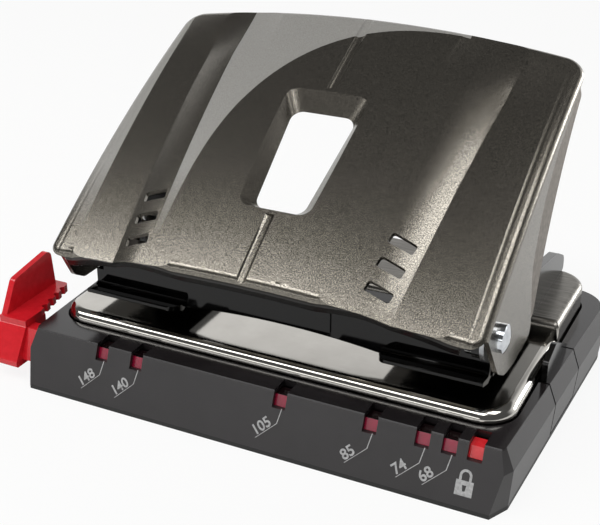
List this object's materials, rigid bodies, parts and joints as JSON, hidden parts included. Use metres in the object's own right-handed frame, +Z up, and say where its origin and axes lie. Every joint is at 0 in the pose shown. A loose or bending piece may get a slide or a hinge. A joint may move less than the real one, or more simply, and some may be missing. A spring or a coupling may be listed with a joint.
{
  "type": "two-hole desk punch",
  "caption": "Manual desk punch with a wide pressed handle on side pivots, a die plate in a low flared base, a red paper guide that slides out at the left, and a hinged chip tray.",
  "frame": {"origin": "middle of the resting face, midway between the two punches", "axes": "+X along the row of punches to the right, +Y from the front edge to the back, +Z up"},
  "size_m": [0.1238, 0.077, 0.0752],
  "materials": {
    "housing": "fine satin",
    "sole": "matt",
    "tray": "matt",
    "bright_steel": "plain",
    "thumb": "glossy",
    "die_plate": "glossy black",
    "frame": "glossy black",
    "fascia": "glossy black",
    "handle": "fine-grained metallic graphite",
    "arm": "satin",
    "tool_steel": "ground",
    "pivot": "polished",
    "cap": "satin",
    "spring": "bright",
    "guide": "glossy red"
  },
  "bodies": {
    "base": {"base_housing": "housing", "base_sole": "sole", "tray_hinge_rod": "bright_steel", "latch_pin": "bright_steel", "die_plate": "die_plate", "punch_frame": "frame", "front_fascia": "fascia", "sole_screw_1": "bright_steel", "sole_screw_2": "bright_steel", "sole_screw_3": "bright_steel", "sole_screw_4": "bright_steel", "die_bush_left": "tool_steel", "die_bush_right": "tool_steel", "frame_rivet_1_left": "bright_steel", "frame_rivet_1_right": "bright_steel", "frame_rivet_2_left": "bright_steel", "frame_rivet_2_right": "bright_steel", "punch_guide_left": "tool_steel", "punch_guide_right": "tool_steel", "pivot_pin_left": "pivot", "pivot_pin_right": "pivot", "pivot_washer_left": "bright_steel", "pivot_washer_right": "bright_steel"},
    "handle": {"handle_shell": "handle", "lever_arm_left": "arm", "lever_arm_right": "arm", "press_stud_left": "tool_steel", "press_stud_right": "tool_steel"},
    "punch_left": {"punch_pin_left": "tool_steel", "punch_cap_left": "cap", "return_spring_left": "spring"},
    "punch_right": {"punch_pin_right": "tool_steel", "punch_cap_right": "cap", "return_spring_right": "spring"},
    "guide": {"guide_bar": "guide"},
    "tray": {"chip_tray": "tray"},
    "latch": {"side_latch": "housing", "latch_thumb": "thumb"}
  },
  "joints": [
    {"name": "handle_hinge", "type": "hinge", "parent": "base", "child": "handle", "pos_m": [0, -0.0248, 0.0315], "axis": [1, 0, 0], "range_deg": [-17, 0]},
    {"name": "punch_slide_left", "type": "slide", "parent": "base", "child": "punch_left", "axis": [0, 0, 1], "range_m": [-0.0063, 0], "stiffness_N_per_m": 600, "springref_m": 0.004, "deforming": ["return_spring_left"]},
    {"name": "punch_slide_right", "type": "slide", "parent": "base", "child": "punch_right", "axis": [0, 0, 1], "range_m": [-0.0063, 0], "stiffness_N_per_m": 600, "springref_m": 0.004, "deforming": ["return_spring_right"]},
    {"name": "guide_slide", "type": "slide", "parent": "base", "child": "guide", "axis": [-1, 0, 0], "range_m": [0, 0.0852]},
    {"name": "tray_hinge", "type": "hinge", "parent": "base", "child": "tray", "pos_m": [-0.0476, 0, 0.0024], "axis": [0, 1, 0], "range_deg": [0, 75]},
    {"name": "latch_hinge", "type": "hinge", "parent": "base", "child": "latch", "pos_m": [0.0545, 0, 0.0035], "axis": [0, 1, 0], "range_deg": [0, 8], "stiffness_Nm_per_rad": 0.1}
  ],
  "couplings": [
    {"joint": "punch_slide_left", "follows": "handle_hinge", "m_per_rad": 0.020888},
    {"joint": "punch_slide_right", "follows": "handle_hinge", "m_per_rad": 0.020888}
  ]
}
